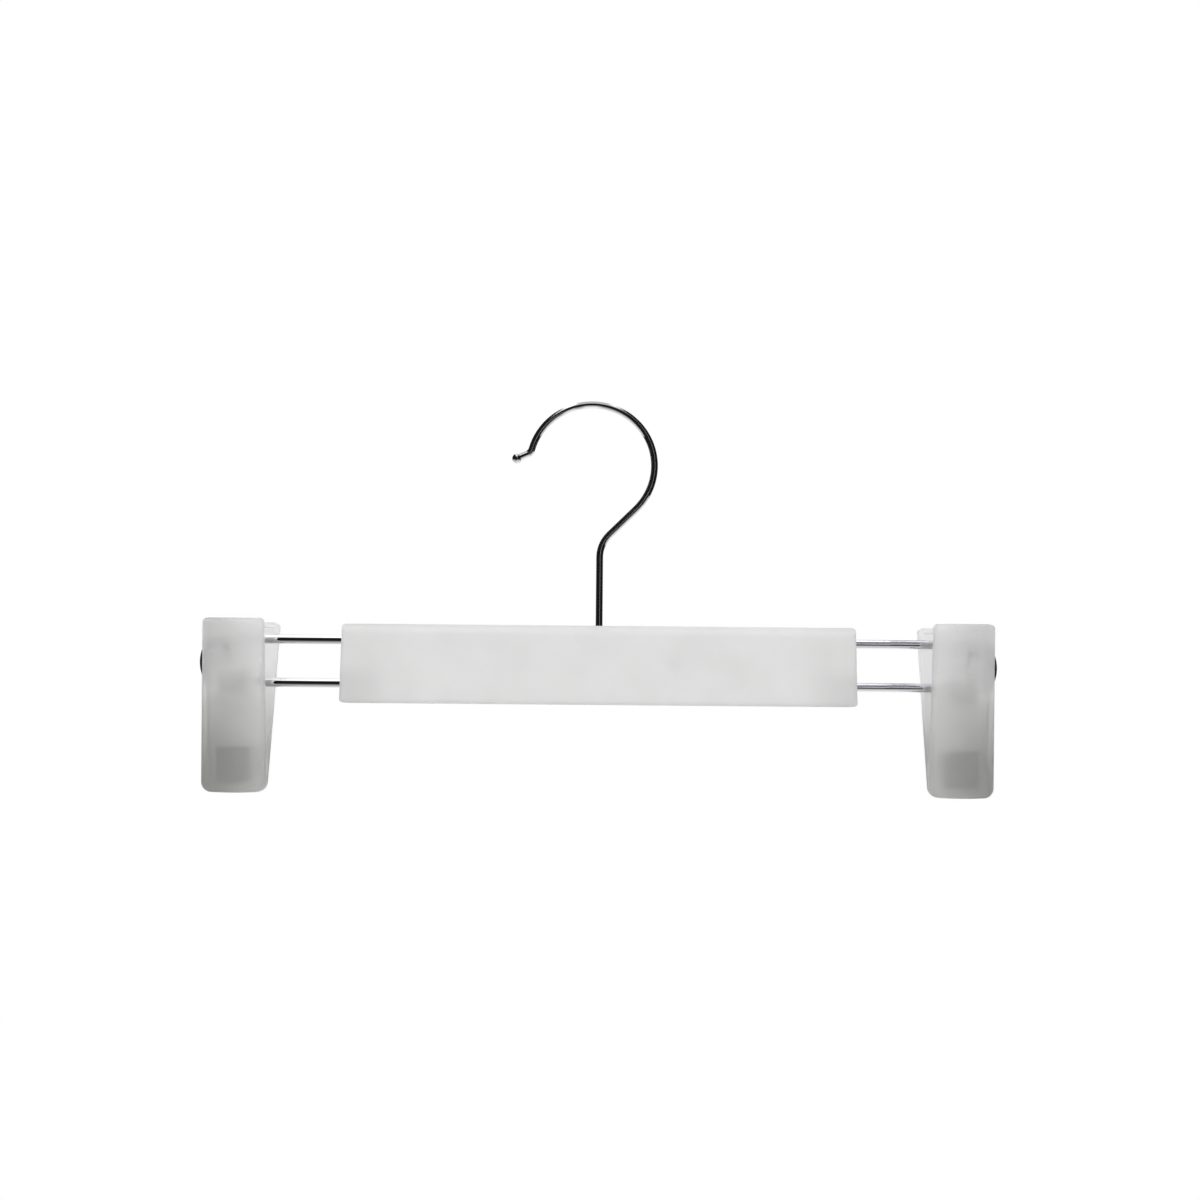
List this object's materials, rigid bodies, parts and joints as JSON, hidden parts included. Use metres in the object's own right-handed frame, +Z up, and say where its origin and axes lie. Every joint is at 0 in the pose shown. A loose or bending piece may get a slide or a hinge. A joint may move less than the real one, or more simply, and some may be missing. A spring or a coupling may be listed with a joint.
{
  "type": "skirt hanger",
  "caption": "Skirt hanger: frosted plastic bar under a chromed swivel hook, with sprung pinch clips sliding on chromed wire loops at its ends.",
  "frame": {"origin": "the point of the hook's inner face that sits on the rail, on the swivel axis", "axes": "+X along the bar, to the right seen from the front; -Y is the front; +Z up"},
  "size_m": [0.334, 0.027, 0.1678],
  "materials": {
    "frosted_plastic": "milky translucent moulding, fine matt surface",
    "chrome": "bright chromium plate on steel wire",
    "grip_pad": "soft olive grey, cross ribbed",
    "spring_steel": "drawn steel wire"
  },
  "bodies": {
    "hook": {"hook": "chrome", "hook_washer": "chrome"},
    "bar": {"bar_front_shell": "frosted_plastic", "bar_back_shell": "frosted_plastic", "left_wire_loop": "chrome", "right_wire_loop": "chrome"},
    "left_clip_spring": {"left_spring": "spring_steel"},
    "left_front_jaw": {"left_front_jaw": "frosted_plastic", "left_front_pad": "grip_pad"},
    "left_back_jaw": {"left_back_jaw": "frosted_plastic", "left_back_pad": "grip_pad"},
    "right_clip_spring": {"right_spring": "spring_steel"},
    "right_front_jaw": {"right_front_jaw": "frosted_plastic", "right_front_pad": "grip_pad"},
    "right_back_jaw": {"right_back_jaw": "frosted_plastic", "right_back_pad": "grip_pad"}
  },
  "joints": [
    {"name": "hook_swivel", "type": "hinge", "parent": "hook", "child": "bar", "pos_m": [0, 0, -0.0943], "axis": [0, 0, 1], "continuous": true},
    {"name": "left_clip_slide", "type": "slide", "parent": "bar", "child": "left_clip_spring", "axis": [1, 0, 0], "range_m": [-0.0035, 0.02856]},
    {"name": "left_front_jaw_open", "type": "hinge", "parent": "left_clip_spring", "child": "left_front_jaw", "pos_m": [-0.14996, 0, -0.1191], "axis": [-1, 0, 0], "range_deg": [0, 18], "stiffness_Nm_per_rad": 0.4, "springref_deg": -34.38, "deforming": ["left_spring"]},
    {"name": "left_back_jaw_open", "type": "hinge", "parent": "left_clip_spring", "child": "left_back_jaw", "pos_m": [-0.14996, 0, -0.1191], "axis": [1, 0, 0], "range_deg": [0, 18], "stiffness_Nm_per_rad": 0.4, "springref_deg": -34.38},
    {"name": "right_clip_slide", "type": "slide", "parent": "bar", "child": "right_clip_spring", "axis": [-1, 0, 0], "range_m": [-0.0035, 0.02856]},
    {"name": "right_front_jaw_open", "type": "hinge", "parent": "right_clip_spring", "child": "right_front_jaw", "pos_m": [0.14996, 0, -0.1191], "axis": [-1, 0, 0], "range_deg": [0, 18], "stiffness_Nm_per_rad": 0.4, "springref_deg": -34.38, "deforming": ["right_spring"]},
    {"name": "right_back_jaw_open", "type": "hinge", "parent": "right_clip_spring", "child": "right_back_jaw", "pos_m": [0.14996, 0, -0.1191], "axis": [1, 0, 0], "range_deg": [0, 18], "stiffness_Nm_per_rad": 0.4, "springref_deg": -34.38}
  ],
  "couplings": [
    {"joint": "left_back_jaw_open", "follows": "left_front_jaw_open", "ratio": 1},
    {"joint": "right_back_jaw_open", "follows": "right_front_jaw_open", "ratio": 1}
  ]
}
